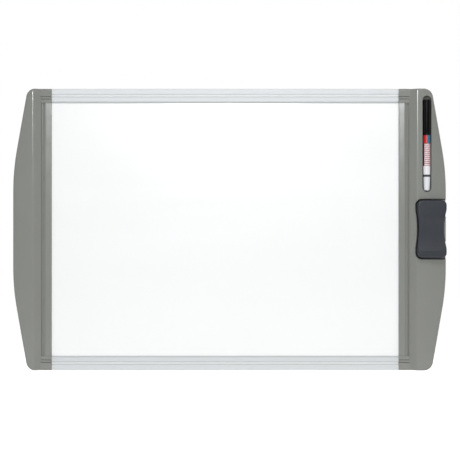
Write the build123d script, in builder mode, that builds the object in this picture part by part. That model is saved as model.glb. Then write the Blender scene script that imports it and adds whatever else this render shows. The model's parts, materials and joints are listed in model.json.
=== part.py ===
"""Wall whiteboard with two moulded end caps, a marker in its slot and an eraser in its dock.

Millimetres. +X right, +Z up, the front faces -Y. The wall is the plane Y = 0, and the origin is the
centre of the four keyholes on it. Heights ("lift") are measured from the wall towards the viewer.
Places across an end cap ("across") are measured outwards from the cap's inner edge.
"""

from build123d import *
import math
import os

os.makedirs("parts", exist_ok=True)

# Writing surface and rails
surface_width = 490.0
surface_height = 357.0
rail_width = 20.0
half_width = surface_width / 2
half_height = surface_height / 2 + rail_width

# Panel layers, back to front
sheet_thickness = 0.6
core_thickness = 6.8
fit_gap = 0.2
panel_in_cap = 9.0
panel_end_gap = 0.8
panel_in_rail = 8.0

# End caps
left_cap_width = 53.6
right_cap_width = 66.4
wall = 2.4
cover_thickness = 2.4
flange_lift = 14.4
lip_radius = 1.2
bead_start = 7.8
bead_end = 9.6
bead_lift = 15.5
bead_foot_rise = 0.5
groove_across = 12.8
groove_radius = 1.2
riser_run = 0.6
riser_rise = 1.6
crest_across = 26.0
crest_lift = 24.0
shoulder_radius = 5.0
crown_radius = 114.0
outline_slant = 10.2
knee_height = 83.0
knee_radius = 330.0
cap_corner_radius = 13.0
cap_edge_radius = 3.0
rib_thickness = 1.6
rib_heights = (52.0, 92.0, 158.0)

# How far a blank or a cutter runs past the shape that trims it
outline_allowance = 5.0
depth_allowance = 20.0
open_margin = 1.0

# Stepped corner blocks, from the cap's top or bottom edge inwards
corner_steps = ((10.6, 17.2), (14.1, 16.6), (19.9, 16.0))
corner_step_slope = 0.3
corner_notch_width = 1.0
corner_notch_depth = 1.0
corner_block_round = 3.4
corner_block_overlap = 0.2

# Rails
rail_back_lift = 1.2
rail_front_lift = 14.0
rail_wall = 1.4
chamber_width = 7.8
chamber_front_lift = 12.4
rail_web_end = 11.8
rail_bead_start = 9.0
rail_bead_end = 10.6
rail_edge_round = 1.0
rail_groove_start = 7.2
rail_groove_end = 12.6
rail_groove_depth = 0.7
rail_lip_start = 17.8
rail_lip_lift = 11.6
rail_band_drop = 0.2
spigot_length = 20.0
spigot_gap = 0.2

# Screws: shank radius, head radius, head height
rail_screw = (1.45, 2.6, 0.9)
rail_screw_length = 8.0
rail_screw_inset = 10.0
cover_screw = (1.4, 2.7, 1.3)
cover_screw_length = 10.0
boss_radius = 3.6
inner_boss_across = 20.0
inner_boss_heights = (62.0, 168.0)
outer_boss_inset = 10.0
outer_boss_height = 72.0
screw_gap = 0.05
pilot_gap = 0.5
screw_tip_share = 0.5
head_dome_share = 0.8
head_rim_share = 0.5
recess_reach_share = 1.1
recess_width_share = 0.3
recess_depth_share = 0.5

# Keyhole hangers
keyhole_across = 26.0
keyhole_z = 125.0
keyhole_entry_radius = 4.5
keyhole_slot_radius = 2.25
keyhole_slot_rise = 10.0
hanger_thickness = 1.2
hanger_width = 18.0
hanger_height = 50.0
hanger_corner = 2.0
hanger_screw = (1.2, 2.3, 1.0)
hanger_screw_length = 5.5
hanger_screw_spacing = 38.0
hanger_boss_radius = 2.8
hanger_window_margin = 2.0

# Marker
marker_across = 38.7
marker_lift = 20.0
marker_cap_length = 48.4
cap_radius = 5.9
cap_bevel = (1.6, 0.9)
barrel_length = 57.0
ring_height = 3.1
tail_length = 22.4
tail_band = 2.0
tail_round = 1.8
barrel_radius = 5.0
barrel_wall = 1.3
neck_height = 7.0
neck_gap = 0.15
label_thickness = 0.15
label_margin = 1.5
tail_radius = 4.8
tail_end_radius = 4.2
ring_radius = 4.7
plug_depth = 9.0
reservoir_gap = 0.25
holder_flange = 1.0
holder_cone = 4.0
holder_depth = 9.0
holder_tip_radius = 3.0
nib_radius = 1.9
nib_reach = 5.5
nib_tail = 4.5
nib_round = 1.7
marker_cap_wall = 1.1
marker_cap_roof = 4.5
seal_height = 10.0
seal_wall = 0.9
seal_lip = 1.5
seal_hole_gap = 0.4

# Marker slot
slot_half_width = 6.4
slot_top_inset = 10.4
slot_top_gap = 5.6
slot_bottom_gap = 1.9
slot_wall = 2.0
saddle_gap = 0.25
saddle_thickness = 3.0
saddle_top_lift = 17.0
cap_saddle_rise = 17.9
barrel_saddle_rise = 18.9

# Eraser and its dock
eraser_across = 44.9
slot_to_dock = 9.5
eraser_width = 41.1
waist_width = 35.1
waist_shift = -0.8
eraser_length = 81.0
eraser_corner = 7.0
lobe_length = 14.0
lobe_blend = 24.0
lobe_blend_share = 0.8
eraser_lift = 11.3
felt_thickness = 7.0
felt_overhang = 0.7
base_thickness = 2.0
shell_lap = 1.0
eraser_height = 21.7
eraser_wall = 2.0
eraser_roof = 4.0
eraser_boss_radius = 2.5
eraser_boss_spacing = 31.0
eraser_bevel = 2.5
scoop_depth = 1.6
scoop_length = 46.0
scoop_shift = -7.5
panel_recess = (25.0, 16.0, 0.3)
panel_recess_corner = 1.5
panel_recess_shift = 25.5
thumb_ridge = (26.0, 1.8, 0.5)
thumb_ridge_corner = 0.8
thumb_ridge_shift = 16.5
magnet_radius = 6.0
magnet_thickness = 3.0
magnet_pocket = 1.0
magnet_spacing = 40.0
dock_floor_lift = 11.0
dock_gap = 2.2
dock_rim_gap = 1.2
dock_wall = 2.0
dock_plate_size = (26.0, 50.0, 1.0)
dock_plate_corner = 3.0
stake_radius = 1.5
stake_head_radius = 2.6
stake_head_height = 0.8
stake_spacing = 36.0
stake_root = 0.5

# Derived places
panel_back_lift = cover_thickness + fit_gap
panel_front_lift = panel_back_lift + 2 * sheet_thickness + core_thickness
flange_under_lift = panel_front_lift + fit_gap
panel_width = surface_width + 2 * panel_in_cap
panel_height = surface_height + 2 * panel_in_rail
web_start = panel_in_cap + panel_end_gap
web_end = web_start + wall
depth_over_all = eraser_lift + eraser_height + depth_allowance
waist_reach = eraser_length / 2 - lobe_length
keyhole_x = half_width + keyhole_across
marker_x = half_width + marker_across
slot_top_z = half_height - slot_top_inset
cap_top_z = slot_top_z - slot_top_gap
cap_bottom_z = cap_top_z - marker_cap_length
barrel_bottom_z = cap_bottom_z - barrel_length
tail_bottom_z = barrel_bottom_z - tail_length
slot_bottom_z = tail_bottom_z - slot_bottom_gap
eraser_x = half_width + eraser_across
eraser_z = slot_bottom_z - slot_to_dock - dock_gap - eraser_length / 2
cap_specs = {"left": (-1, left_cap_width), "right": (1, right_cap_width)}
mirror_signs = (-1, 1)
match_tolerance = 0.01
side_wall_limit = 1e-4
front_face_limit = 0.1


def flank_angle(foot_across, foot_lift):
    """Slope of the straight flank that runs from its foot into the shoulder's arc, in radians."""
    run = crest_across - foot_across
    drop = shoulder_radius - (crest_lift - foot_lift)
    return math.asin(shoulder_radius / math.hypot(run, drop)) - math.atan2(drop, run)


flank_foot = (groove_across + groove_radius + riser_run, flange_lift + riser_rise)
rise_angle = flank_angle(*flank_foot)


def shoulder_point(angle, inset):
    """Point on the shoulder arc, turned back from the crest, sunk below the outer surface by inset."""
    radius = shoulder_radius - inset
    centre_lift = crest_lift - shoulder_radius
    return (crest_across - radius * math.sin(angle), centre_lift + radius * math.cos(angle))


def crown_point(across, inset):
    """Point on the gentle crown outside the crest."""
    radius = crown_radius - inset
    drop = across - crest_across
    centre_lift = crest_lift - crown_radius
    return (across, centre_lift + math.sqrt(radius**2 - drop**2))


def bulge_lines(side, start, end_across, inset):
    """Flank, shoulder and crown from the flank's foot to beyond the outer edge. Returns the last point."""
    place = lambda point: (side * (half_width + point[0]), -point[1])
    flank_top = shoulder_point(rise_angle, inset)
    crest = shoulder_point(0, inset)
    crown_middle = crown_point((crest_across + end_across) / 2, inset)
    crown_end = crown_point(end_across, inset)
    Line(place(start), place(flank_top))
    ThreePointArc(place(flank_top), place(shoulder_point(rise_angle / 2, inset)), place(crest))
    ThreePointArc(place(crest), place(crown_middle), place(crown_end))
    return crown_end


def cap_band_section(side):
    """Closed section of a cap's inner band: lip, flange, bead and groove, from the wall up."""
    place = lambda point: (side * (half_width + point[0]), -point[1])
    bead_foot_lift = flange_lift + bead_foot_rise
    lip_diagonal = lip_radius * (1 - math.sqrt(0.5))
    groove_start = (groove_across - groove_radius, flange_lift)
    groove_end = (groove_across + groove_radius, flange_lift)
    with BuildSketch(Plane.XY) as section:
        with BuildLine():
            Line(place((0, 0)), place((0, flange_lift - lip_radius)))
            ThreePointArc(
                place((0, flange_lift - lip_radius)),
                place((lip_diagonal, flange_lift - lip_diagonal)),
                place((lip_radius, flange_lift)),
            )
            Line(place((lip_radius, flange_lift)), place((bead_start, bead_foot_lift)))
            ThreePointArc(
                place((bead_start, bead_foot_lift)),
                place(((bead_start + bead_end) / 2, bead_lift)),
                place((bead_end, bead_foot_lift)),
            )
            Line(place((bead_end, bead_foot_lift)), place(groove_start))
            groove_bottom = (groove_across, flange_lift - groove_radius)
            ThreePointArc(place(groove_start), place(groove_bottom), place(groove_end))
            Polyline(
                place(groove_end), place(flank_foot), place((flank_foot[0], 0)), place((0, 0))
            )
        make_face()
    return section


def cap_bulge_section(side, width):
    """Closed section of a cap's bulge, from the flank's foot to beyond the outer edge."""
    place = lambda point: (side * (half_width + point[0]), -point[1])
    beyond = width + outline_allowance
    with BuildSketch(Plane.XY) as section:
        with BuildLine():
            Line(place((flank_foot[0], 0)), place(flank_foot))
            outer_end = bulge_lines(side, flank_foot, beyond, 0)
            Line(place(outer_end), place((beyond, 0)))
            Line(place((beyond, 0)), place((flank_foot[0], 0)))
        make_face()
    return section


def corner_block_section(side, sign):
    """Section of the stepped block at a cap's top or bottom, which carries the rail's lines on."""
    place = lambda inwards, lift: (-lift, sign * (half_height - inwards))
    top_lift = corner_steps[0][1]
    diagonal = corner_block_round * (1 - math.sqrt(0.5))
    with BuildSketch(Plane.YZ.offset(side * half_width)) as section:
        with BuildLine():
            ThreePointArc(
                place(0, top_lift - corner_block_round),
                place(diagonal, top_lift - diagonal),
                place(corner_block_round, top_lift),
            )
            points = [place(corner_block_round, top_lift)]
            for (step_end, step_lift), (_, next_lift) in zip(corner_steps, corner_steps[1:]):
                points.append(place(step_end, step_lift))
                points.append(place(step_end + corner_notch_width / 2, next_lift - corner_notch_depth))
                points.append(place(step_end + corner_notch_width, next_lift))
            points.append(place(*corner_steps[-1]))
            points.append(place(corner_steps[-1][0] + corner_step_slope, flange_lift))
            points.append(place(corner_steps[-1][0] + corner_step_slope, 0))
            points.append(place(0, 0))
            points.append(place(0, top_lift - corner_block_round))
            Polyline(*points)
        make_face()
    return section


def rail_section(sign):
    """Section of a rail with its hollow chamber and the channel that takes the panel's edge."""
    place = lambda inwards, lift: (-lift, sign * (half_height - inwards))
    groove_lift_here = rail_front_lift - rail_groove_depth
    band_lift = rail_front_lift - rail_band_drop
    round_off = rail_edge_round * (1 - math.sqrt(0.5))
    bead_middle = (rail_bead_start + rail_bead_end) / 2
    slope = rail_groove_depth / 2
    with BuildSketch(Plane.YZ) as section:
        with BuildLine():
            ThreePointArc(
                place(0, rail_front_lift - rail_edge_round),
                place(round_off, rail_front_lift - round_off),
                place(rail_edge_round, rail_front_lift),
            )
            Polyline(
                place(rail_edge_round, rail_front_lift),
                place(rail_groove_start, rail_front_lift),
                place(rail_groove_start + slope, groove_lift_here),
                place(rail_bead_start, groove_lift_here),
            )
            ThreePointArc(
                place(rail_bead_start, groove_lift_here),
                place(bead_middle, rail_front_lift),
                place(rail_bead_end, groove_lift_here),
            )
            Polyline(
                place(rail_bead_end, groove_lift_here),
                place(rail_groove_end - slope, groove_lift_here),
                place(rail_groove_end, band_lift),
                place(rail_lip_start, band_lift),
                place(rail_width, rail_lip_lift),
                place(rail_width, flange_under_lift),
                place(rail_web_end, flange_under_lift),
                place(rail_web_end, panel_back_lift - fit_gap),
                place(rail_width, panel_back_lift - fit_gap),
                place(rail_width, rail_back_lift),
                place(0, rail_back_lift),
                place(0, rail_front_lift - rail_edge_round),
            )
        make_face()
        chamber_depth = chamber_front_lift - rail_back_lift - rail_wall
        chamber_centre = place(
            rail_wall + chamber_width / 2, rail_back_lift + rail_wall + chamber_depth / 2
        )
        with Locations(chamber_centre):
            Rectangle(chamber_depth, chamber_width, mode=Mode.SUBTRACT)
    return section


def cap_cavity_section(side, width):
    """Closed section of the space inside a cap, between the inner web and beyond the outer wall."""
    place = lambda point: (side * (half_width + point[0]), -point[1])
    ceiling_lift = flange_lift - groove_radius - wall
    foot = (flank_foot[0], ceiling_lift)
    beyond = width + outline_allowance
    with BuildSketch(Plane.XY) as section:
        with BuildLine():
            Polyline(
                place(foot),
                place((web_end, ceiling_lift)),
                place((web_end, cover_thickness)),
                place((beyond, cover_thickness)),
                place(crown_point(beyond, wall)),
            )
            bulge_lines(side, foot, beyond, wall)
        make_face()
    return section


def cap_outline(side, width, inset, inner=0.0):
    """Outline of a cap seen from the front, drawn in by inset all round but ending at inner."""
    slant = math.radians(outline_slant)
    top = half_height - inset
    outer = width - inset
    knee = knee_height - inset * math.tan(slant / 2)
    corner = outer - (top - knee) * math.tan(slant)
    place = lambda across, z: (side * (half_width + across), z)
    with BuildSketch(Plane.XZ) as outline:
        with BuildLine():
            Polyline(
                place(inner, -top),
                place(corner, -top),
                place(outer, -knee),
                place(outer, knee),
                place(corner, top),
                place(inner, top),
                close=True,
            )
        make_face()
        for reach, radius in ((outer, knee_radius), (corner, cap_corner_radius)):
            bends = outline.vertices().filter_by(
                lambda v: abs(abs(v.X) - half_width - reach) < match_tolerance
            )
            fillet(bends, radius=radius - inset)
    return outline


def blend_radius(side_x, waist_x, corner_start):
    """Radius that rounds a lobe into the waist's arc, limited by the straight stretch beside it."""
    sag = abs(side_x - waist_x)
    waist_arc = (waist_reach**2 + sag**2) / (2 * sag)
    turn = math.asin(waist_reach / waist_arc)
    room = lobe_blend_share * (corner_start - waist_reach)
    return min(lobe_blend, room / math.tan(turn / 2))


def waisted_outline(left, right, waist_left, waist_right, half_long, corner):
    """Eraser outline with two lobes and a waist, centred on the eraser's middle height."""
    z = lambda value: eraser_z + value
    with BuildSketch(Plane.XZ) as outline:
        with BuildLine():
            Line((left, z(half_long)), (left, z(waist_reach)))
            ThreePointArc((left, z(waist_reach)), (waist_left, z(0)), (left, z(-waist_reach)))
            Polyline(
                (left, z(-waist_reach)),
                (left, z(-half_long)),
                (right, z(-half_long)),
                (right, z(-waist_reach)),
            )
            ThreePointArc((right, z(-waist_reach)), (waist_right, z(0)), (right, z(waist_reach)))
            Polyline((right, z(waist_reach)), (right, z(half_long)), (left, z(half_long)))
        make_face()
        ends = outline.vertices().filter_by(
            lambda v: abs(abs(v.Y - eraser_z) - half_long) < match_tolerance
        )
        fillet(ends, radius=corner)
        for side_x, waist_x in ((left, waist_left), (right, waist_right)):
            bends = outline.vertices().filter_by(
                lambda v: abs(v.X - side_x) < match_tolerance
                and abs(abs(v.Y - eraser_z) - waist_reach) < match_tolerance
            )
            fillet(bends, radius=blend_radius(side_x, waist_x, half_long - corner))
    return outline


def eraser_outline(inset):
    """Outline of the eraser, drawn in by inset all round."""
    half = eraser_width / 2
    waist = waist_width / 2
    return waisted_outline(
        eraser_x - half + inset,
        eraser_x + half - inset,
        eraser_x + waist_shift - waist + inset,
        eraser_x + waist_shift + waist - inset,
        eraser_length / 2 - inset,
        eraser_corner - inset,
    )


def dock_outline(grow):
    """Outline of the dock's recess: a gap round the eraser, open where the lobes cross the cap's rim."""
    half = eraser_width / 2
    waist = waist_width / 2
    return waisted_outline(
        eraser_x - half - dock_gap - grow,
        eraser_x + half + dock_gap + 2 * dock_wall,
        eraser_x + waist_shift - waist - dock_gap - grow,
        eraser_x + waist_shift + waist + dock_rim_gap + grow,
        eraser_length / 2 + dock_gap + grow,
        eraser_corner + dock_gap + grow,
    )


def marker_slot(grow):
    """Solid that fills the marker's slot: a round-ended trough with a round floor, open to the front."""
    radius = slot_half_width + grow
    straight = slot_top_z - slot_bottom_z - 2 * slot_half_width
    middle = (slot_top_z + slot_bottom_z) / 2
    with BuildPart() as slot:
        with BuildSketch(Plane.XZ.offset(marker_lift)):
            with Locations((marker_x, middle)):
                SlotOverall(straight + 2 * radius, 2 * radius, rotation=90)
        extrude(amount=crest_lift)
        with Locations((marker_x, -marker_lift, middle)):
            Cylinder(radius, straight)
        for sign in mirror_signs:
            with Locations((marker_x, -marker_lift, middle + sign * straight / 2)):
                Sphere(radius)
    return slot


def screw_form(shank_radius, head_radius, head_height, length, countersunk=False):
    """Body of a screw whose head starts at Y = 0 and whose shank points towards -Y."""
    tip = shank_radius * screw_tip_share
    if countersunk:
        head = [(0, head_height), (head_radius, head_height), (shank_radius, 0)]
    else:
        head = [
            (0, head_height),
            (head_radius * head_dome_share, head_height),
            (head_radius, head_height * head_rim_share),
            (head_radius, 0),
            (shank_radius, 0),
        ]
    shank = [(shank_radius, tip - length), (shank_radius - tip, -length), (0, -length)]
    with BuildPart() as body:
        with BuildSketch(Plane.XY):
            with BuildLine():
                Polyline(*head, *shank, close=True)
            make_face()
        revolve(axis=Axis.Y)
    return body.part


def screw(shank_radius, head_radius, head_height, length, countersunk=False):
    """Screw with a cross recess in its head."""
    with BuildPart() as body:
        add(screw_form(shank_radius, head_radius, head_height, length, countersunk))
        with BuildSketch(Plane.XZ.offset(-head_height)):
            Rectangle(head_radius * recess_reach_share, head_radius * recess_width_share)
            Rectangle(head_radius * recess_width_share, head_radius * recess_reach_share)
        extrude(amount=head_height * recess_depth_share, mode=Mode.SUBTRACT)
    return body.part


def finish(builder, name):
    """Label a finished piece and write its file."""
    builder.part.label = name
    export_step(builder.part, f"parts/{name}.step")


def hanger_screw_places(plate_centre):
    """Centres of the two screws of one hanger plate, as X and Z."""
    return [(plate_centre[0], plate_centre[1] + end * hanger_screw_spacing / 2) for end in mirror_signs]


def boss_places(side, width):
    """Centres of a cap's screw bosses, as X and Z."""
    places = []
    for sign in mirror_signs:
        for height in inner_boss_heights:
            places.append((side * (half_width + inner_boss_across), sign * height))
        places.append((side * (half_width + width - outer_boss_inset), sign * outer_boss_height))
    return places


spigot_z = half_height - rail_wall - chamber_width / 2
spigot_width = chamber_width - 2 * spigot_gap
spigot_back_lift = rail_back_lift + rail_wall + spigot_gap
spigot_front_lift = chamber_front_lift - spigot_gap
rail_screw_x = half_width - rail_screw_inset
block_rise = corner_steps[0][1] - flank_foot[1]
block_run = block_rise / math.tan(rise_angle)
corner_block_across = flank_foot[0] + block_run + corner_block_overlap
label_radius = barrel_radius + label_thickness
saddle_specs = (
    (cap_bottom_z + cap_saddle_rise, cap_radius),
    (barrel_bottom_z + barrel_saddle_rise, label_radius),
)
hanger_places = [
    (side * keyhole_x, sign * keyhole_z + keyhole_slot_rise / 2)
    for side in mirror_signs
    for sign in mirror_signs
]


# End caps
for name, (side, width) in cap_specs.items():
    with BuildPart() as cavity:
        section = cap_cavity_section(side, width)
        extrude(section.sketch, amount=half_height, both=True)
        outline = cap_outline(side, width, wall)
        extrude(outline.sketch, amount=depth_over_all, mode=Mode.INTERSECT)
        for boss_x, boss_z in boss_places(side, width):
            with BuildSketch(Plane.XZ):
                with Locations((boss_x, boss_z)):
                    Circle(boss_radius)
            extrude(amount=depth_over_all, mode=Mode.SUBTRACT)
        for rib_z in rib_heights:
            for sign in mirror_signs:
                with Locations((side * (half_width + width / 2), -crest_lift / 2, sign * rib_z)):
                    Box(width, 2 * crest_lift, rib_thickness, mode=Mode.SUBTRACT)
        if name == "right":
            add(marker_slot(slot_wall).part, mode=Mode.SUBTRACT)
            with BuildSketch(Plane.XZ.offset(dock_floor_lift - dock_wall)):
                add(dock_outline(dock_wall).sketch_local)
            extrude(amount=crest_lift, mode=Mode.SUBTRACT)

    with BuildPart() as bulge:
        section = cap_bulge_section(side, width)
        extrude(section.sketch, amount=half_height, both=True)
        outline = cap_outline(side, width, 0)
        extrude(outline.sketch, amount=depth_over_all, mode=Mode.INTERSECT)
        sides = bulge.faces().filter_by(lambda f: abs(f.normal_at().Y) < side_wall_limit)
        fronts = bulge.faces().filter_by(lambda f: f.normal_at().Y < -front_face_limit)
        rim = [
            edge
            for edge in fronts.edges()
            if any(edge.is_same(other) for other in sides.edges())
            and abs(edge.center().X) > half_width + flank_foot[0] + match_tolerance
        ]
        fillet(rim, radius=cap_edge_radius)

    with BuildPart() as end_cap:
        add(bulge.part)
        extrude(cap_band_section(side).sketch, amount=half_height, both=True)
        for sign in mirror_signs:
            extrude(corner_block_section(side, sign).sketch, amount=side * corner_block_across)
        # Space for the back cover, the panel's edge and the corner beside the rail's end
        with BuildSketch(Plane.XZ):
            add(cap_outline(side, width, wall, inner=-open_margin).sketch_local)
        extrude(amount=cover_thickness, mode=Mode.SUBTRACT)
        panel_pocket_width = web_start + open_margin
        with BuildSketch(Plane.XZ.offset(cover_thickness)):
            with Locations((side * (half_width + web_start - panel_pocket_width / 2), 0)):
                Rectangle(panel_pocket_width, panel_height + 2 * fit_gap)
        extrude(amount=flange_under_lift - cover_thickness, mode=Mode.SUBTRACT)
        corner_room_height = rail_web_end - 2 * wall
        for sign in mirror_signs:
            with BuildSketch(Plane.XZ.offset(cover_thickness)):
                corner_z = sign * (half_height - wall - corner_room_height / 2)
                with Locations((side * (half_width + (wall + web_end) / 2), corner_z)):
                    Rectangle(web_end - wall, corner_room_height)
            extrude(amount=flange_under_lift - cover_thickness, mode=Mode.SUBTRACT)
        add(cavity.part, mode=Mode.SUBTRACT)
        # Spigots that reach into the rails' chambers, with pilot holes for the rail screws
        for sign in mirror_signs:
            spigot_depth = spigot_front_lift - spigot_back_lift
            spigot_x = side * (half_width + (wall - spigot_length) / 2)
            spigot_y = -(spigot_front_lift + spigot_back_lift) / 2
            with Locations((spigot_x, spigot_y, sign * spigot_z)):
                Box(spigot_length + wall, spigot_depth, spigot_width)
            with BuildSketch(Plane.XZ.offset(spigot_back_lift)):
                with Locations((side * rail_screw_x, sign * spigot_z)):
                    Circle(rail_screw[0] + screw_gap)
            extrude(amount=rail_screw_length - rail_wall, mode=Mode.SUBTRACT)
        for boss_x, boss_z in boss_places(side, width):
            with BuildSketch(Plane.XZ.offset(cover_thickness)):
                with Locations((boss_x, boss_z)):
                    Circle(cover_screw[0] + screw_gap)
            extrude(amount=cover_screw_length - cover_thickness + pilot_gap, mode=Mode.SUBTRACT)
        if name == "right":
            add(marker_slot(0).part, mode=Mode.SUBTRACT)
            saddle_depth = saddle_top_lift - marker_lift + slot_half_width + slot_wall / 2
            for saddle_z, held_radius in saddle_specs:
                with Locations((marker_x, saddle_depth / 2 - saddle_top_lift, saddle_z)):
                    Box(2 * slot_half_width + slot_wall, saddle_depth, saddle_thickness)
                with BuildSketch(Plane.XY.offset(saddle_z - saddle_thickness / 2)):
                    with Locations((marker_x, -marker_lift)):
                        Circle(held_radius + saddle_gap)
                extrude(amount=saddle_thickness, mode=Mode.SUBTRACT)
            with BuildSketch(Plane.XZ.offset(dock_floor_lift)):
                add(dock_outline(0).sketch_local)
            extrude(amount=crest_lift, mode=Mode.SUBTRACT)
            for sign in mirror_signs:
                stake_z = eraser_z + sign * stake_spacing / 2
                stake_base_lift = dock_floor_lift - dock_wall
                plate_back_lift = stake_base_lift - screw_gap - dock_plate_size[2] - screw_gap
                with BuildSketch(Plane.XZ.offset(plate_back_lift)):
                    with Locations((eraser_x, stake_z)):
                        Circle(stake_radius)
                extrude(amount=stake_base_lift - plate_back_lift + stake_root)
                with BuildSketch(Plane.XZ.offset(plate_back_lift - stake_head_height)):
                    with Locations((eraser_x, stake_z)):
                        Circle(stake_head_radius)
                extrude(amount=stake_head_height)
    finish(end_cap, f"{name}_end_cap")

    with BuildPart() as back_cover:
        with BuildSketch(Plane.XZ):
            add(cap_outline(side, width, wall + fit_gap, inner=fit_gap).sketch_local)
        extrude(amount=cover_thickness)
        for boss_x, boss_z in boss_places(side, width):
            with BuildSketch(Plane.XZ):
                with Locations((boss_x, boss_z)):
                    Circle(cover_screw[1] + fit_gap)
            extrude(amount=cover_screw[2] + screw_gap, mode=Mode.SUBTRACT)
            with BuildSketch(Plane.XZ):
                with Locations((boss_x, boss_z)):
                    Circle(cover_screw[0] + fit_gap)
            extrude(amount=cover_thickness, mode=Mode.SUBTRACT)
        for plate_centre in hanger_places:
            if plate_centre[0] * side < 0:
                continue
            with BuildSketch(Plane.XZ):
                with Locations(plate_centre):
                    Rectangle(hanger_width + 2 * fit_gap, hanger_height + 2 * fit_gap)
            extrude(amount=hanger_thickness, mode=Mode.SUBTRACT)
            window_width = 2 * (keyhole_entry_radius + hanger_window_margin)
            with BuildSketch(Plane.XZ):
                with Locations(plate_centre):
                    Rectangle(window_width, window_width + keyhole_slot_rise)
            extrude(amount=cover_thickness, mode=Mode.SUBTRACT)
            for screw_place in hanger_screw_places(plate_centre):
                with BuildSketch(Plane.XZ.offset(cover_thickness)):
                    with Locations(screw_place):
                        Circle(hanger_boss_radius)
                extrude(amount=hanger_screw_length)
                with BuildSketch(Plane.XZ):
                    with Locations(screw_place):
                        Circle(hanger_screw[0] + screw_gap)
                extrude(amount=hanger_thickness + hanger_screw_length + pilot_gap, mode=Mode.SUBTRACT)
    finish(back_cover, f"{name}_back_cover")

    with BuildPart() as cover_screws:
        for boss_x, boss_z in boss_places(side, width):
            with Locations((boss_x, -cover_screw[2] - screw_gap, boss_z)):
                add(screw(*cover_screw, cover_screw_length - cover_screw[2]))
    finish(cover_screws, f"{name}_cover_screws")


# Hanger plates and their screws
hanger_screw_lift = hanger_screw[2] + 2 * screw_gap
with BuildPart() as hanger_plates:
    for plate_centre in hanger_places:
        keyhole_place = (plate_centre[0], plate_centre[1] - keyhole_slot_rise / 2)
        with BuildSketch(Plane.XZ):
            with Locations(plate_centre):
                RectangleRounded(hanger_width, hanger_height, radius=hanger_corner)
            with Locations(keyhole_place):
                Circle(keyhole_entry_radius, mode=Mode.SUBTRACT)
            with Locations(plate_centre):
                Rectangle(2 * keyhole_slot_radius, keyhole_slot_rise, mode=Mode.SUBTRACT)
            with Locations((plate_centre[0], plate_centre[1] + keyhole_slot_rise / 2)):
                Circle(keyhole_slot_radius, mode=Mode.SUBTRACT)
        extrude(amount=hanger_thickness)
    clearance = screw_form(
        hanger_screw[0] + 2 * screw_gap,
        hanger_screw[1] + 2 * screw_gap,
        hanger_screw[2] + 2 * screw_gap,
        hanger_screw_length,
        countersunk=True,
    )
    for plate_centre in hanger_places:
        for screw_x, screw_z in hanger_screw_places(plate_centre):
            with Locations((screw_x, -hanger_screw_lift, screw_z)):
                add(clearance, mode=Mode.SUBTRACT)
finish(hanger_plates, "hanger_plates")

with BuildPart() as hanger_screws:
    for plate_centre in hanger_places:
        for screw_x, screw_z in hanger_screw_places(plate_centre):
            with Locations((screw_x, -hanger_screw_lift, screw_z)):
                add(screw(*hanger_screw, hanger_screw_length, countersunk=True))
finish(hanger_screws, "hanger_screws")

# Panel layers
layers = (
    ("backing_sheet", panel_back_lift, sheet_thickness),
    ("core_board", panel_back_lift + sheet_thickness, core_thickness),
    ("writing_sheet", panel_back_lift + sheet_thickness + core_thickness, sheet_thickness),
)
for name, layer_lift, thickness in layers:
    with BuildPart() as layer:
        with BuildSketch(Plane.XZ.offset(layer_lift)):
            Rectangle(panel_width, panel_height)
        extrude(amount=thickness)
    finish(layer, name)

# Rails and the screws that hold them to the caps' spigots
for name, sign in (("top_rail", 1), ("bottom_rail", -1)):
    with BuildPart() as rail:
        extrude(rail_section(sign).sketch, amount=half_width - fit_gap, both=True)
        with BuildSketch(Plane.XZ):
            with Locations((-rail_screw_x, sign * spigot_z), (rail_screw_x, sign * spigot_z)):
                Circle(rail_screw[0] + fit_gap)
        extrude(amount=spigot_back_lift, mode=Mode.SUBTRACT)
    finish(rail, name)

with BuildPart() as rail_screws:
    for side in mirror_signs:
        for sign in mirror_signs:
            with Locations((side * rail_screw_x, -rail_back_lift, sign * spigot_z)):
                add(screw(*rail_screw, rail_screw_length))
finish(rail_screws, "rail_screws")

# Steel plate behind the dock's floor
with BuildPart() as dock_plate:
    plate_width, plate_height, plate_thickness = dock_plate_size
    with BuildSketch(Plane.XZ.offset(dock_floor_lift - dock_wall - screw_gap - plate_thickness)):
        with Locations((eraser_x, eraser_z)):
            RectangleRounded(plate_width, plate_height, radius=dock_plate_corner)
        with Locations(
            (eraser_x, eraser_z - stake_spacing / 2), (eraser_x, eraser_z + stake_spacing / 2)
        ):
            Circle(stake_radius + screw_gap, mode=Mode.SUBTRACT)
    extrude(amount=plate_thickness)
finish(dock_plate, "dock_plate")

# Marker, turned about its own upright axis
marker_plane = Plane((marker_x, -marker_lift, 0), x_dir=(1, 0, 0), z_dir=(0, -1, 0))
marker_axis = Axis((marker_x, -marker_lift, 0), (0, 0, 1))
bore_radius = barrel_radius - barrel_wall
shoulder_z = cap_bottom_z - fit_gap
neck_radius = cap_radius - marker_cap_wall - neck_gap
neck_top_z = shoulder_z + neck_height
plug_radius = bore_radius - screw_gap
ring_bottom_z = barrel_bottom_z - ring_height
holder_top_z = neck_top_z + holder_flange + holder_cone
holder_bottom_z = neck_top_z - holder_depth
reservoir_top_z = holder_bottom_z - nib_tail
nib_tip_z = holder_top_z + nib_reach


def turned(points):
    """Solid of revolution about the marker's axis, from radius and Z pairs."""
    with BuildSketch(marker_plane) as profile:
        with BuildLine():
            Polyline(*points, close=True)
        make_face()
    revolve(profile.sketch, axis=marker_axis)


with BuildPart() as marker_barrel:
    turned(
        [
            (bore_radius, barrel_bottom_z),
            (barrel_radius, barrel_bottom_z),
            (barrel_radius, shoulder_z),
            (neck_radius, shoulder_z),
            (neck_radius, neck_top_z),
            (bore_radius, neck_top_z),
        ]
    )
finish(marker_barrel, "marker_barrel")

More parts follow.
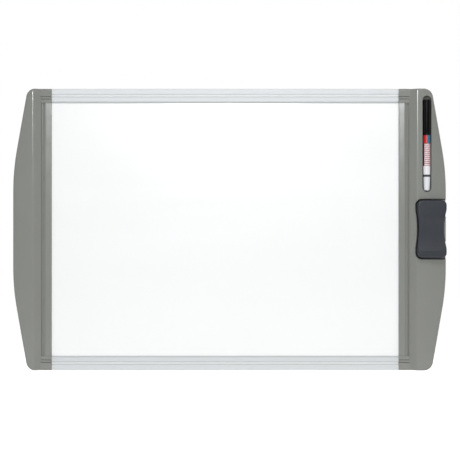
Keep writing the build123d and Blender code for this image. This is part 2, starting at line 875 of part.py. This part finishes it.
with BuildPart() as marker_label:
    turned(
        [
            (barrel_radius, barrel_bottom_z + label_margin),
            (label_radius, barrel_bottom_z + label_margin),
            (label_radius, shoulder_z - label_margin),
            (barrel_radius, shoulder_z - label_margin),
        ]
    )
finish(marker_label, "marker_label")

with BuildPart() as marker_ring:
    turned(
        [
            (plug_radius + screw_gap, ring_bottom_z),
            (ring_radius, ring_bottom_z),
            (ring_radius, barrel_bottom_z),
            (plug_radius + screw_gap, barrel_bottom_z),
        ]
    )
finish(marker_ring, "marker_ring")

with BuildPart() as marker_tail_plug:
    turned(
        [
            (0, tail_bottom_z),
            (tail_end_radius, tail_bottom_z),
            (tail_radius, ring_bottom_z - tail_band),
            (tail_radius, ring_bottom_z),
            (plug_radius, ring_bottom_z),
            (plug_radius, barrel_bottom_z + plug_depth),
            (0, barrel_bottom_z + plug_depth),
        ]
    )
    fillet(marker_tail_plug.faces().sort_by(Axis.Z)[0].edges(), radius=tail_round)
finish(marker_tail_plug, "marker_tail_plug")

with BuildPart() as marker_ink_reservoir:
    turned(
        [
            (0, barrel_bottom_z + plug_depth),
            (bore_radius - reservoir_gap, barrel_bottom_z + plug_depth),
            (bore_radius - reservoir_gap, reservoir_top_z),
            (0, reservoir_top_z),
        ]
    )
finish(marker_ink_reservoir, "marker_ink_reservoir")

with BuildPart() as marker_nib_holder:
    nib_hole = nib_radius + screw_gap
    turned(
        [
            (nib_hole, holder_bottom_z),
            (plug_radius, holder_bottom_z),
            (plug_radius, neck_top_z),
            (neck_radius, neck_top_z),
            (neck_radius, neck_top_z + holder_flange),
            (holder_tip_radius, holder_top_z),
            (nib_hole, holder_top_z),
        ]
    )
finish(marker_nib_holder, "marker_nib_holder")

with BuildPart() as marker_nib:
    turned(
        [
            (0, reservoir_top_z),
            (nib_radius, reservoir_top_z),
            (nib_radius, nib_tip_z - nib_radius),
            (0, nib_tip_z - nib_radius),
        ]
    )
    fillet(marker_nib.faces().sort_by(Axis.Z)[-1].edges(), radius=nib_round)
finish(marker_nib, "marker_nib")

cap_bore_radius = cap_radius - marker_cap_wall
with BuildPart() as marker_cap:
    turned(
        [
            (cap_bore_radius, cap_bottom_z),
            (cap_radius, cap_bottom_z),
            (cap_radius, cap_top_z),
            (0, cap_top_z),
            (0, cap_top_z - marker_cap_roof),
            (cap_bore_radius, cap_top_z - marker_cap_roof),
        ]
    )
    chamfer(marker_cap.faces().sort_by(Axis.Z)[-1].edges(), length=cap_bevel[0], length2=cap_bevel[1])
finish(marker_cap, "marker_cap")

with BuildPart() as marker_cap_seal:
    seal_radius = cap_bore_radius - screw_gap
    seal_bottom_z = holder_top_z + saddle_gap
    seal_hole = nib_radius + seal_hole_gap
    turned(
        [
            (seal_hole, seal_bottom_z),
            (seal_radius, seal_bottom_z),
            (seal_radius, seal_bottom_z + seal_height),
            (0, seal_bottom_z + seal_height),
            (0, seal_bottom_z + seal_height - seal_wall),
            (seal_radius - seal_wall, seal_bottom_z + seal_height - seal_wall),
            (seal_radius - seal_wall, seal_bottom_z + seal_lip),
            (seal_hole, seal_bottom_z + seal_lip),
        ]
    )
finish(marker_cap_seal, "marker_cap_seal")

# Eraser, from the felt up
base_lift = eraser_lift + felt_thickness
shell_lift = base_lift + base_thickness - shell_lap
top_lift = eraser_lift + eraser_height
magnet_places = [(eraser_x, eraser_z + sign * magnet_spacing / 2) for sign in mirror_signs]
eraser_boss_places = [(eraser_x, eraser_z + step * eraser_boss_spacing) for step in (-1, 0, 1)]

with BuildPart() as eraser_felt:
    with BuildSketch(Plane.XZ.offset(eraser_lift)):
        add(eraser_outline(-felt_overhang).sketch_local)
    extrude(amount=felt_thickness)
finish(eraser_felt, "eraser_felt")

with BuildPart() as eraser_base_plate:
    with BuildSketch(Plane.XZ.offset(base_lift)):
        add(eraser_outline(eraser_wall + fit_gap).sketch_local)
    extrude(amount=base_thickness)
    with BuildSketch(Plane.XZ.offset(base_lift + base_thickness - magnet_pocket)):
        with Locations(*magnet_places):
            Circle(magnet_radius + screw_gap)
    extrude(amount=magnet_pocket, mode=Mode.SUBTRACT)
finish(eraser_base_plate, "eraser_base_plate")

with BuildPart() as eraser_magnets:
    with BuildSketch(Plane.XZ.offset(base_lift + base_thickness - magnet_pocket)):
        with Locations(*magnet_places):
            Circle(magnet_radius)
    extrude(amount=magnet_thickness)
finish(eraser_magnets, "eraser_magnets")

with BuildPart() as eraser_shell:
    with BuildSketch(Plane.XZ.offset(shell_lift)):
        add(eraser_outline(0).sketch_local)
    extrude(amount=top_lift - shell_lift)
    top_face = eraser_shell.faces().sort_by(Axis.Y)[0]
    fillet(top_face.edges(), radius=eraser_bevel)
    with BuildSketch(Plane.XZ.offset(shell_lift)):
        add(eraser_outline(eraser_wall).sketch_local)
    extrude(amount=top_lift - eraser_roof - shell_lift, mode=Mode.SUBTRACT)
    with BuildSketch(Plane.XZ.offset(base_lift + base_thickness)):
        with Locations(*eraser_boss_places):
            Circle(eraser_boss_radius)
    extrude(amount=top_lift - eraser_roof - base_lift - base_thickness)
    scoop_radius = ((scoop_length / 2) ** 2 + scoop_depth**2) / (2 * scoop_depth)
    with BuildSketch(Plane.YZ.offset(eraser_x)):
        with Locations((scoop_depth - top_lift - scoop_radius, eraser_z + scoop_shift)):
            Circle(scoop_radius)
    extrude(amount=eraser_width, both=True, mode=Mode.SUBTRACT)
    with BuildSketch(Plane.XZ.offset(top_lift - panel_recess[2])):
        with Locations((eraser_x, eraser_z + panel_recess_shift)):
            RectangleRounded(panel_recess[0], panel_recess[1], radius=panel_recess_corner)
    extrude(amount=panel_recess[2] + open_margin, mode=Mode.SUBTRACT)
    with BuildSketch(Plane.XZ.offset(top_lift - panel_recess[2])):
        with Locations((eraser_x, eraser_z + thumb_ridge_shift)):
            RectangleRounded(thumb_ridge[0], thumb_ridge[1], radius=thumb_ridge_corner)
    extrude(amount=panel_recess[2] + thumb_ridge[2])
finish(eraser_shell, "eraser_shell")
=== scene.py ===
"""Looks of the wall whiteboard: finishes, felt, printed sleeve, light and camera."""

import json
import math

import bpy
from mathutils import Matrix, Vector, noise


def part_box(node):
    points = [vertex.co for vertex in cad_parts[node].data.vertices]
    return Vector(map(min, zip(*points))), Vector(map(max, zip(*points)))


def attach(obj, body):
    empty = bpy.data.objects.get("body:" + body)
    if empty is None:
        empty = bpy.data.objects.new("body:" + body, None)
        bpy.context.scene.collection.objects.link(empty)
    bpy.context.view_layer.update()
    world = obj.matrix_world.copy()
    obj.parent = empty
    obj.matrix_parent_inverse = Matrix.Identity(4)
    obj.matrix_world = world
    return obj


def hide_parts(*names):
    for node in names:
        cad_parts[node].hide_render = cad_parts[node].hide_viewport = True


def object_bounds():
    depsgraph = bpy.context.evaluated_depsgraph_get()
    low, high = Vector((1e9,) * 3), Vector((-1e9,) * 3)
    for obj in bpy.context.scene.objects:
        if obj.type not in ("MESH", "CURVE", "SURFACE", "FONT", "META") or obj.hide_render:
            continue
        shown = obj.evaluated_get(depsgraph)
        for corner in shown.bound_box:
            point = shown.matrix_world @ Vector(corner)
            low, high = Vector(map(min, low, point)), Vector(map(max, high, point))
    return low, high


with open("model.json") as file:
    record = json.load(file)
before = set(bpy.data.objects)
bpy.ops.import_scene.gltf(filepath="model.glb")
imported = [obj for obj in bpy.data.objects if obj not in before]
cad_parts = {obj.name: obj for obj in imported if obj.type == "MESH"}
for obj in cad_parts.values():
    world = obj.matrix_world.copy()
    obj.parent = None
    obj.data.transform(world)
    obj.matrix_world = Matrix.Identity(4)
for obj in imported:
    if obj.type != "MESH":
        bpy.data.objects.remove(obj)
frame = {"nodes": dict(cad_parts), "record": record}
cad_low, cad_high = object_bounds()
nodes = frame["nodes"]

# Camera, in the photograph's frame of 460 by 460 pixels, square on to the board
METRES_PER_PIXEL = 0.001409
FRAME_PIXELS = 460
SURFACE_CENTRE_PIXEL = (225.15, 229.5)
CAMERA_DISTANCE = 2.2
FRONT_PLANE = -0.018
SENSOR = 36.0

# Light
FLOOR_BELOW = 0.16
FLOOR_HALF = 6.0
FLOOR_GLOW = 0.75
AMBIENT_FRONT = 0.48
AMBIENT_BACK = 0.1
MIRRORED_FRONT = 0.18
MIRRORED_BACK = 1.0
# The front level holds up to the first Y of a ray's direction, and the back level from the second on
FRONT_DIRECTION = -0.7
BACK_DIRECTION = 0.5

# Rail: the painted shade in its grooves starts and is full this far behind its front face
GROOVE_SHADE_START = 0.0001
GROOVE_SHADE_FULL = 0.0007
# Rail: the painted highlight on the ridge between the grooves runs between these distances from the
# board's outer edge
BEAD_OUTER = 0.009
BEAD_INNER = 0.0106

# Felt pad
PAD_VOXEL = 0.0009
PAD_EDGE_ROUND = 0.00048
PAD_EDGE_REACH = 0.0012
COARSE_MATTING = (260, 0.00016)
FINE_MATTING = (900, 0.00012)

# Marker: how far a band of colour laps over the edges of what it colours
BAND_LAP = 0.0001
SEAL_LAP = 0.0005


def colour(red, green, blue):
    """Linear colour from a written 0 to 255 colour."""
    linear = []
    for value in (red, green, blue):
        share = value / 255
        linear.append(share / 12.92 if share <= 0.04045 else ((share + 0.055) / 1.055) ** 2.4)
    return (*linear, 1.0)


def shade(base, factor):
    """A lighter or darker version of a linear colour."""
    return tuple(channel * factor for channel in base[:3]) + (1.0,)


class NodeTree:
    """A tree of shader nodes, built step by step."""

    def __init__(self, tree):
        self.tree = tree
        self.tree.nodes.clear()

    def node(self, kind, **values):
        made = self.tree.nodes.new(kind)
        for key, value in values.items():
            setattr(made, key, value)
        return made

    def link(self, source, target):
        self.tree.links.new(source, target)

    def feed(self, socket, value):
        """Give a socket a plain value, or link it to another socket."""
        if isinstance(value, (int, float, tuple)):
            socket.default_value = value
        else:
            self.link(value, socket)

    def math(self, operation, first, second=0.0):
        made = self.node("ShaderNodeMath", operation=operation)
        self.feed(made.inputs[0], first)
        self.feed(made.inputs[1], second)
        return made.outputs[0]

    def map_range(self, factor, low, high, from_low=0.3, from_high=0.7):
        made = self.node("ShaderNodeMapRange")
        self.feed(made.inputs["Value"], factor)
        made.inputs["From Min"].default_value = from_low
        made.inputs["From Max"].default_value = from_high
        made.inputs["To Min"].default_value = low
        made.inputs["To Max"].default_value = high
        return made.outputs["Result"]

    def component(self, vector, letter):
        """One component of a vector socket."""
        split = self.node("ShaderNodeSeparateXYZ")
        self.link(vector, split.inputs[0])
        return split.outputs[letter]

    def seen_or_mirrored(self):
        """One for rays that the camera sees, directly, mirrored or through a clear piece, else nought."""
        path = self.node("ShaderNodeLightPath").outputs
        seen = self.math("MAXIMUM", path["Is Camera Ray"], path["Is Glossy Ray"])
        return self.math("MAXIMUM", seen, path["Is Transmission Ray"])


class Material(NodeTree):
    """A node material round one Principled shader, in the object's own coordinates."""

    def __init__(self, name):
        self.material = bpy.data.materials.new(name)
        self.material.use_nodes = True
        super().__init__(self.material.node_tree)
        output = self.node("ShaderNodeOutputMaterial")
        self.shader = self.node("ShaderNodeBsdfPrincipled")
        self.link(self.shader.outputs[0], output.inputs[0])
        self.place = self.node("ShaderNodeTexCoord").outputs["Object"]

    def set(self, **values):
        """Set shader sockets; underscores stand for spaces."""
        for key, value in values.items():
            self.shader.inputs[key.replace("_", " ")].default_value = value
        return self

    def axis(self, letter):
        """Object coordinate along one axis."""
        return self.component(self.place, letter)

    def stretched(self, scale):
        """Object coordinates scaled by axis."""
        mapping = self.node("ShaderNodeMapping")
        mapping.inputs["Scale"].default_value = scale
        self.link(self.place, mapping.inputs["Vector"])
        return mapping.outputs[0]

    def noise(self, scale, detail=3.0, stretch=None, roughness=0.55):
        made = self.node("ShaderNodeTexNoise")
        made.inputs["Scale"].default_value = scale
        made.inputs["Detail"].default_value = detail
        made.inputs["Roughness"].default_value = roughness
        self.link(self.stretched(stretch) if stretch else self.place, made.inputs["Vector"])
        return made.outputs["Fac"]

    def ramp(self, factor, stops, constant=False):
        """Colour ramp with (position, colour) stops."""
        made = self.node("ShaderNodeValToRGB")
        made.color_ramp.interpolation = "CONSTANT" if constant else "LINEAR"
        elements = made.color_ramp.elements
        while len(elements) > 1:
            elements.remove(elements[-1])
        elements[0].position, elements[0].color = stops[0]
        for position, tone in stops[1:]:
            elements.new(position).color = tone
        self.link(factor, made.inputs["Fac"])
        return made.outputs["Color"]

    def mix(self, factor, first, second):
        """The first colour where the factor is nought, the second where it is one."""
        made = self.node("ShaderNodeMix", data_type="RGBA")
        self.feed(made.inputs["Factor"], factor)
        self.feed(made.inputs[6], first)
        self.feed(made.inputs[7], second)
        return made.outputs[2]

    def between(self, value, low, high):
        """One where a value lies between two numbers, else nought."""
        above = self.math("GREATER_THAN", value, low)
        below = self.math("LESS_THAN", value, high)
        return self.math("MULTIPLY", above, below)

    def base(self, socket):
        self.link(socket, self.shader.inputs["Base Color"])

    def roughness(self, socket):
        self.link(socket, self.shader.inputs["Roughness"])

    def bump(self, height, strength, distance):
        """Add a bump on top of those that are there."""
        made = self.node("ShaderNodeBump")
        made.inputs["Strength"].default_value = strength
        made.inputs["Distance"].default_value = distance
        self.link(height, made.inputs["Height"])
        normal = self.shader.inputs["Normal"]
        if normal.is_linked:
            self.link(normal.links[0].from_socket, made.inputs["Normal"])
        self.link(made.outputs[0], normal)


def moulded_plastic(
    name, base, rough=(0.2, 0.27), grain=1500.0, depth=0.00003, variation=0.025, specular=0.4
):
    """Satin moulded plastic: fine spark-eroded grain, slow colour drift and uneven gloss."""
    made = Material(name)
    drift = made.noise(9.0, 4.0)
    made.base(made.ramp(drift, [(0.35, shade(base, 1 - variation)), (0.65, shade(base, 1 + variation))]))
    made.roughness(made.map_range(made.noise(60.0, 3.0), *rough))
    made.bump(made.noise(grain, 2.0), 0.35, depth)
    made.bump(made.noise(140.0, 2.0), 0.08, 0.0001)
    return made.set(IOR=1.5, Specular_IOR_Level=specular).material


def gloss_moulding(name, base, band, rough=(0.12, 0.22), specular=0.4):
    """Smooth glossy plastic with faint swirls of handling, and a band of another colour by height."""
    made = Material(name)
    drift = made.noise(25.0, 3.0)
    body = made.ramp(drift, [(0.3, shade(base, 0.95)), (0.7, shade(base, 1.04))])
    band_low, band_high, band_colour = band
    made.base(made.mix(made.between(made.axis("Z"), band_low, band_high), body, band_colour))
    made.roughness(made.map_range(made.noise(220.0, 4.0), *rough))
    made.bump(made.noise(500.0, 2.0), 0.08, 0.00003)
    return made.set(IOR=1.5, Specular_IOR_Level=specular).material


def extruded_aluminium():
    """Satin silver extrusion: die lines along its length, painted shade in its grooves, and a painted
    highlight on the ridge between its grooves.
    """
    made = Material("rail_aluminium")
    base = colour(216, 218, 219)
    die_lines = made.noise(1.0, 5.0, stretch=(1.5, 2600.0, 2600.0))
    streaks = made.ramp(die_lines, [(0.35, shade(base, 0.97)), (0.65, base)])
    cloudy = made.mix(made.map_range(made.noise(4.0, 3.0), 0.0, 0.3), streaks, shade(base, 0.97))
    rail_low, rail_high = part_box("top_rail")
    front = rail_low[1]
    # Painted shade: what lies behind the front face, in the grooves, gets a darker colour
    groove_shade = made.map_range(made.axis("Y"), 0.0, 1.0, front + GROOVE_SHADE_START, front + GROOVE_SHADE_FULL)
    with_groove_shade = made.mix(groove_shade, cloudy, shade(base, 0.84))
    # The bottom rail is the top one's mirror image, so the distance from the board's middle serves both
    from_middle = made.math("ABSOLUTE", made.axis("Z"))
    # Painted highlight: a lighter colour along the ridge between the grooves
    bead = made.between(from_middle, rail_high[2] - BEAD_INNER, rail_high[2] - BEAD_OUTER)
    made.base(made.mix(bead, with_groove_shade, colour(238, 240, 240)))
    made.roughness(made.map_range(die_lines, 0.5, 0.58))
    made.bump(die_lines, 0.04, 0.00003)
    return made.set(Metallic=0.08, Specular_IOR_Level=0.3).material


def plated_steel(name, base, along=(900.0, 900.0, 900.0)):
    """Zinc-plated steel with a cloudy spangle and fine scratches."""
    made = Material(name)
    spangle = made.noise(180.0, 4.0)
    scratches = made.noise(1.0, 4.0, stretch=along)
    made.base(made.ramp(spangle, [(0.3, shade(base, 0.82)), (0.7, shade(base, 1.08))]))
    made.roughness(made.map_range(scratches, 0.25, 0.48))
    made.bump(scratches, 0.15, 0.00003)
    return made.set(Metallic=1.0).material


def white_enamel():
    """Gloss dry-erase enamel with a trace of roller texture under its clear coat."""
    made = Material("white_enamel")
    base = colour(251, 251, 250)
    drift = made.noise(3.0, 3.0)
    made.base(made.ramp(drift, [(0.3, shade(base, 0.985)), (0.7, base)]))
    wiped = made.noise(1.0, 3.0, stretch=(3.0, 3.0, 40.0))
    made.roughness(made.map_range(wiped, 0.16, 0.24))
    made.bump(made.noise(260.0, 1.0), 0.05, 0.00005)
    return made.set(IOR=1.52, Coat_Weight=0.4, Coat_Roughness=0.08).material


def galvanised_sheet():
    """Thin zinc-coated sheet with a crystalline spangle, as on the backs of such boards."""
    made = Material("zinc_sheet")
    cells = made.node("ShaderNodeTexVoronoi")
    cells.inputs["Scale"].default_value = 260.0
    made.link(made.place, cells.inputs["Vector"])
    tints = [(0.2, colour(168, 172, 174)), (0.5, colour(178, 182, 184)), (0.8, colour(186, 189, 191))]
    made.base(made.ramp(cells.outputs["Color"], tints))
    made.roughness(made.map_range(made.noise(30.0, 4.0), 0.3, 0.5))
    made.bump(made.noise(400.0, 3.0), 0.08, 0.00005)
    return made.set(Metallic=0.9).material


def fibre_board():
    """Pressed brown fibre core."""
    made = Material("fibre_board")
    fibres = made.noise(1.0, 6.0, stretch=(420.0, 420.0, 900.0))
    made.base(made.ramp(fibres, [(0.3, colour(120, 92, 62)), (0.7, colour(176, 143, 104))]))
    made.bump(fibres, 0.5, 0.0003)
    return made.set(Roughness=0.9).material


def felt(name, dark, light):
    """Dense felt: matted fibres with a soft sheen."""
    made = Material(name)
    fibres = made.noise(2600.0, 5.0, roughness=0.7)
    mats = made.noise(320.0, 4.0)
    both = made.math("MULTIPLY", fibres, mats)
    made.base(made.ramp(both, [(0.12, dark), (0.42, light)]))
    made.bump(fibres, 0.9, 0.0002)
    made.bump(mats, 0.5, 0.0005)
    return made.set(Roughness=0.95, Sheen_Weight=0.35, Sheen_Roughness=0.5).material


def soft_rubber():
    """Dull black elastomer with a trace of bloom."""
    made = Material("soft_seal")
    made.base(made.ramp(made.noise(240.0, 4.0), [(0.3, colour(22, 22, 23)), (0.7, colour(36, 36, 37))]))
    made.bump(made.noise(900.0, 2.0), 0.3, 0.00005)
    return made.set(Roughness=0.6).material


def dash_rows(made, across, red, dark_red, white):
    """Columns of short dashes in two reds on white, each column half a row above the last."""
    columns = 4.0
    rows_per_metre = 180.0
    gutter_start = 0.82
    spread = made.math("MULTIPLY", across, columns)
    within_column = made.math("FRACT", spread)
    column = made.math("FLOOR", spread)
    rows = made.math("MULTIPLY", made.axis("Z"), rows_per_metre)
    within_row = made.math("FRACT", made.math("ADD", rows, made.math("MULTIPLY", column, 0.5)))
    stops = [(0.0, red), (0.3, white), (0.5, dark_red), (0.76, white)]
    dashes = made.ramp(within_row, stops, constant=True)
    return made.mix(made.math("GREATER_THAN", within_column, gutter_start), dashes, white)


def printed_sleeve():
    """Marker sleeve with a generic print: a two-colour block over rows of dashes, plain at its foot."""
    made = Material("label_film")
    white = colour(233, 229, 232)
    red = colour(186, 34, 34)
    dark_red = colour(120, 44, 58)
    blue = colour(44, 110, 142)
    navy = colour(52, 50, 68)
    edge_share = 0.12
    red_share = 0.56
    plain_share = 0.2
    block_share = 0.79
    low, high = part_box("marker_label")
    across = made.map_range(made.axis("X"), 0.0, 1.0, low[0], high[0])
    along = made.map_range(made.axis("Z"), 0.0, 1.0, low[2], high[2])
    dashes = dash_rows(made, across, red, dark_red, white)
    edged = made.mix(made.math("LESS_THAN", across, edge_share), dashes, navy)
    lower = made.mix(made.math("LESS_THAN", along, plain_share), edged, white)
    halves = made.mix(made.math("GREATER_THAN", across, red_share), red, blue)
    made.base(made.mix(made.math("GREATER_THAN", along, block_share), lower, halves))
    made.roughness(made.map_range(made.noise(90.0, 3.0), 0.28, 0.4))
    made.bump(made.noise(700.0, 2.0), 0.06, 0.00003)
    return made.set(IOR=1.5, Specular_IOR_Level=0.4, Coat_Weight=0.15, Coat_Roughness=0.2).material


def seal_band():
    """Black band on the barrel, from the sleeve's end to just inside the cap's mouth."""
    sleeve_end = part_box("marker_label")[1][2]
    cap_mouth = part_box("marker_cap")[0][2]
    return (sleeve_end, cap_mouth + SEAL_LAP, colour(12, 12, 13))


def ring_band():
    """Grey band that covers the whole ring between the barrel and the tail."""
    low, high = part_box("marker_ring")
    return (low[2] - BAND_LAP, high[2] + BAND_LAP, colour(74, 75, 78))


cap_grey = colour(134, 135, 129)
materials = {
    "white_enamel": white_enamel(),
    "fibre_board": fibre_board(),
    "zinc_sheet": galvanised_sheet(),
    "rail_aluminium": extruded_aluminium(),
    "grey_plastic": moulded_plastic("grey_plastic", cap_grey, rough=(0.16, 0.22), specular=0.5),
    "cover_plastic": moulded_plastic("cover_plastic", shade(cap_grey, 0.85), rough=(0.45, 0.58)),
    "zinc_screw": plated_steel("zinc_screw", colour(196, 196, 192)),
    "hanger_steel": plated_steel("hanger_steel", colour(188, 190, 190), along=(900.0, 900.0, 60.0)),
    "marker_white": gloss_moulding("marker_white", colour(230, 232, 235), seal_band()),
    "marker_black": gloss_moulding(
        "marker_black", colour(8, 8, 9), ring_band(), rough=(0.08, 0.13), specular=0.24
    ),
    "label_film": printed_sleeve(),
    "nib_felt": felt("nib_felt", colour(12, 12, 13), colour(34, 34, 35)),
    "reservoir_fibre": felt("reservoir_fibre", colour(24, 24, 26), colour(60, 60, 64)),
    "soft_seal": soft_rubber(),
    "slate_plastic": moulded_plastic(
        "slate_plastic", colour(46, 49, 56), rough=(0.3, 0.38), grain=2200.0, specular=0.3
    ),
    "black_felt": felt("black_felt", colour(10, 10, 11), colour(38, 38, 39)),
    "magnet": plated_steel("magnet", colour(205, 205, 203)),
}
slots = {entry["node"]: entry["material_slot"] for entry in frame["record"]["subparts"]}
for name, node in nodes.items():
    node.data.materials.clear()
    node.data.materials.append(materials[slots[name]])


def even_copy(source, name):
    """Copy of a piece with its mesh rebuilt from even voxels."""
    piece = source.copy()
    piece.data = source.data.copy()
    piece.name = name
    bpy.context.scene.collection.objects.link(piece)
    remesh = piece.modifiers.new("remesh", "REMESH")
    remesh.mode = "VOXEL"
    remesh.voxel_size = PAD_VOXEL
    evaluated = piece.evaluated_get(bpy.context.evaluated_depsgraph_get())
    mesh = bpy.data.meshes.new_from_object(evaluated)
    piece.modifiers.clear()
    piece.data = mesh
    return piece


def matting(point):
    """How far the felt's matted surface lies inward at a point."""
    fine_scale, fine_depth = FINE_MATTING
    coarse_scale, coarse_depth = COARSE_MATTING
    fine = noise.noise(point * fine_scale) * fine_depth
    coarse = noise.noise(point * coarse_scale) * coarse_depth
    return abs(fine + coarse)


def felt_block():
    """The eraser's felt pad as a soft block: rounded edges and a slightly matted, uneven surface."""
    piece = even_copy(nodes["eraser_felt"], "felt_pad")
    mesh = piece.data
    low, high = (Vector(corner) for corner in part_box("eraser_felt"))
    centre = (low + high) / 2
    for vertex in mesh.vertices:
        point = vertex.co
        from_face = min(point.y - low.y, high.y - point.y)
        pull = max(0.0, 1 - from_face / PAD_EDGE_REACH)
        inward = Vector((centre.x - point.x, 0, centre.z - point.z)).normalized()
        vertex.co = point + inward * (PAD_EDGE_ROUND * pull**2 + matting(point))
    for polygon in mesh.polygons:
        polygon.use_smooth = True
    mesh.materials.clear()
    mesh.materials.append(materials["black_felt"])
    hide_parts("eraser_felt")
    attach(piece, "eraser")


felt_block()


def photo_camera():
    """Camera square on to the board, framed as in the photograph."""
    data = bpy.data.cameras.new("camera")
    data.sensor_width = SENSOR
    data.lens = SENSOR * CAMERA_DISTANCE / (FRAME_PIXELS * METRES_PER_PIXEL)
    data.clip_end = 50
    camera = bpy.data.objects.new("camera", data)
    frame_centre = FRAME_PIXELS / 2
    camera.location = (
        (frame_centre - SURFACE_CENTRE_PIXEL[0]) * METRES_PER_PIXEL,
        FRONT_PLANE - CAMERA_DISTANCE,
        (SURFACE_CENTRE_PIXEL[1] - frame_centre) * METRES_PER_PIXEL,
    )
    camera.rotation_euler = (math.radians(90), 0, 0)
    bpy.context.scene.collection.objects.link(camera)
    return camera


bpy.context.scene.camera = photo_camera()


def area_light(name, place, size, power, tint=(1, 1, 1)):
    """Soft rectangular lamp that points at the middle of the board."""
    data = bpy.data.lights.new(name, "AREA")
    data.shape = "RECTANGLE"
    data.size, data.size_y = size
    data.energy = power
    data.color = tint
    lamp = bpy.data.objects.new(name, data)
    lamp.location = place
    lamp.rotation_euler = (-Vector(place)).to_track_quat("-Z", "Y").to_euler()
    bpy.context.scene.collection.objects.link(lamp)


area_light("key", place=(0.2, -1.7, 1.5), size=(1.6, 0.6), power=11.6)
# A small cool lamp for the narrow highlight along the crest of each end cap
area_light("strip", place=(0.02, -1.85, 0.44), size=(0.12, 0.12), power=13.0, tint=(0.94, 0.97, 1.0))
area_light("back_fill", place=(0.6, 1.9, 0.9), size=(1.4, 1.0), power=11.0)


def floor_finish():
    """Pale matt floor that glows white only where it is seen or mirrored."""
    made = Material("floor")
    made.base(made.ramp(made.noise(3.0), [(0.3, colour(244, 244, 243)), (0.7, colour(250, 250, 249))]))
    glow = made.math("MULTIPLY", made.seen_or_mirrored(), FLOOR_GLOW)
    made.link(glow, made.shader.inputs["Emission Strength"])
    return made.set(Roughness=0.9, Emission_Color=(1, 1, 1, 1)).material


def pale_floor():
    """Square floor a little below the board."""
    height = cad_low[2] - FLOOR_BELOW
    mesh = bpy.data.meshes.new("floor")
    signs = ((-1, -1), (1, -1), (1, 1), (-1, 1))
    corners = [(FLOOR_HALF * x, FLOOR_HALF * y, height) for x, y in signs]
    mesh.from_pydata(corners, [], [(0, 1, 2, 3)])
    mesh.materials.append(floor_finish())
    floor = bpy.data.objects.new("floor", mesh)
    bpy.context.scene.collection.objects.link(floor)
    return floor


floor = pale_floor()


class World(NodeTree):
    """The world's tree: a white light whose level changes with direction."""

    def background(self, strength):
        """White background shader of a strength that is a socket."""
        made = self.node("ShaderNodeBackground")
        made.inputs["Color"].default_value = (1, 1, 1, 1)
        self.link(strength, made.inputs["Strength"])
        return made.outputs[0]

    def by_direction(self, front, back):
        """Strength that runs evenly from one level in front of the object to another behind it."""
        direction = self.node("ShaderNodeTexCoord").outputs["Generated"]
        depth = self.component(direction, "Y")
        return self.map_range(depth, front, back, FRONT_DIRECTION, BACK_DIRECTION)


def studio_world():
    """A plain level that falls off behind the object; the camera sees white, mirrors see a dim front."""
    world = bpy.data.worlds.new("studio")
    world.use_nodes = True
    made = World(world.node_tree)
    camera_ray = made.node("ShaderNodeLightPath").outputs["Is Camera Ray"]
    mirrored = made.by_direction(MIRRORED_FRONT, MIRRORED_BACK)
    mix = made.node("ShaderNodeMixShader")
    output = made.node("ShaderNodeOutputWorld")
    made.link(made.seen_or_mirrored(), mix.inputs[0])
    made.link(made.background(made.by_direction(AMBIENT_FRONT, AMBIENT_BACK)), mix.inputs[1])
    made.link(made.background(made.math("MAXIMUM", mirrored, camera_ray)), mix.inputs[2])
    made.link(mix.outputs[0], output.inputs[0])
    return world


bpy.context.scene.world = studio_world()
bpy.context.scene.view_settings.view_transform = "Standard"
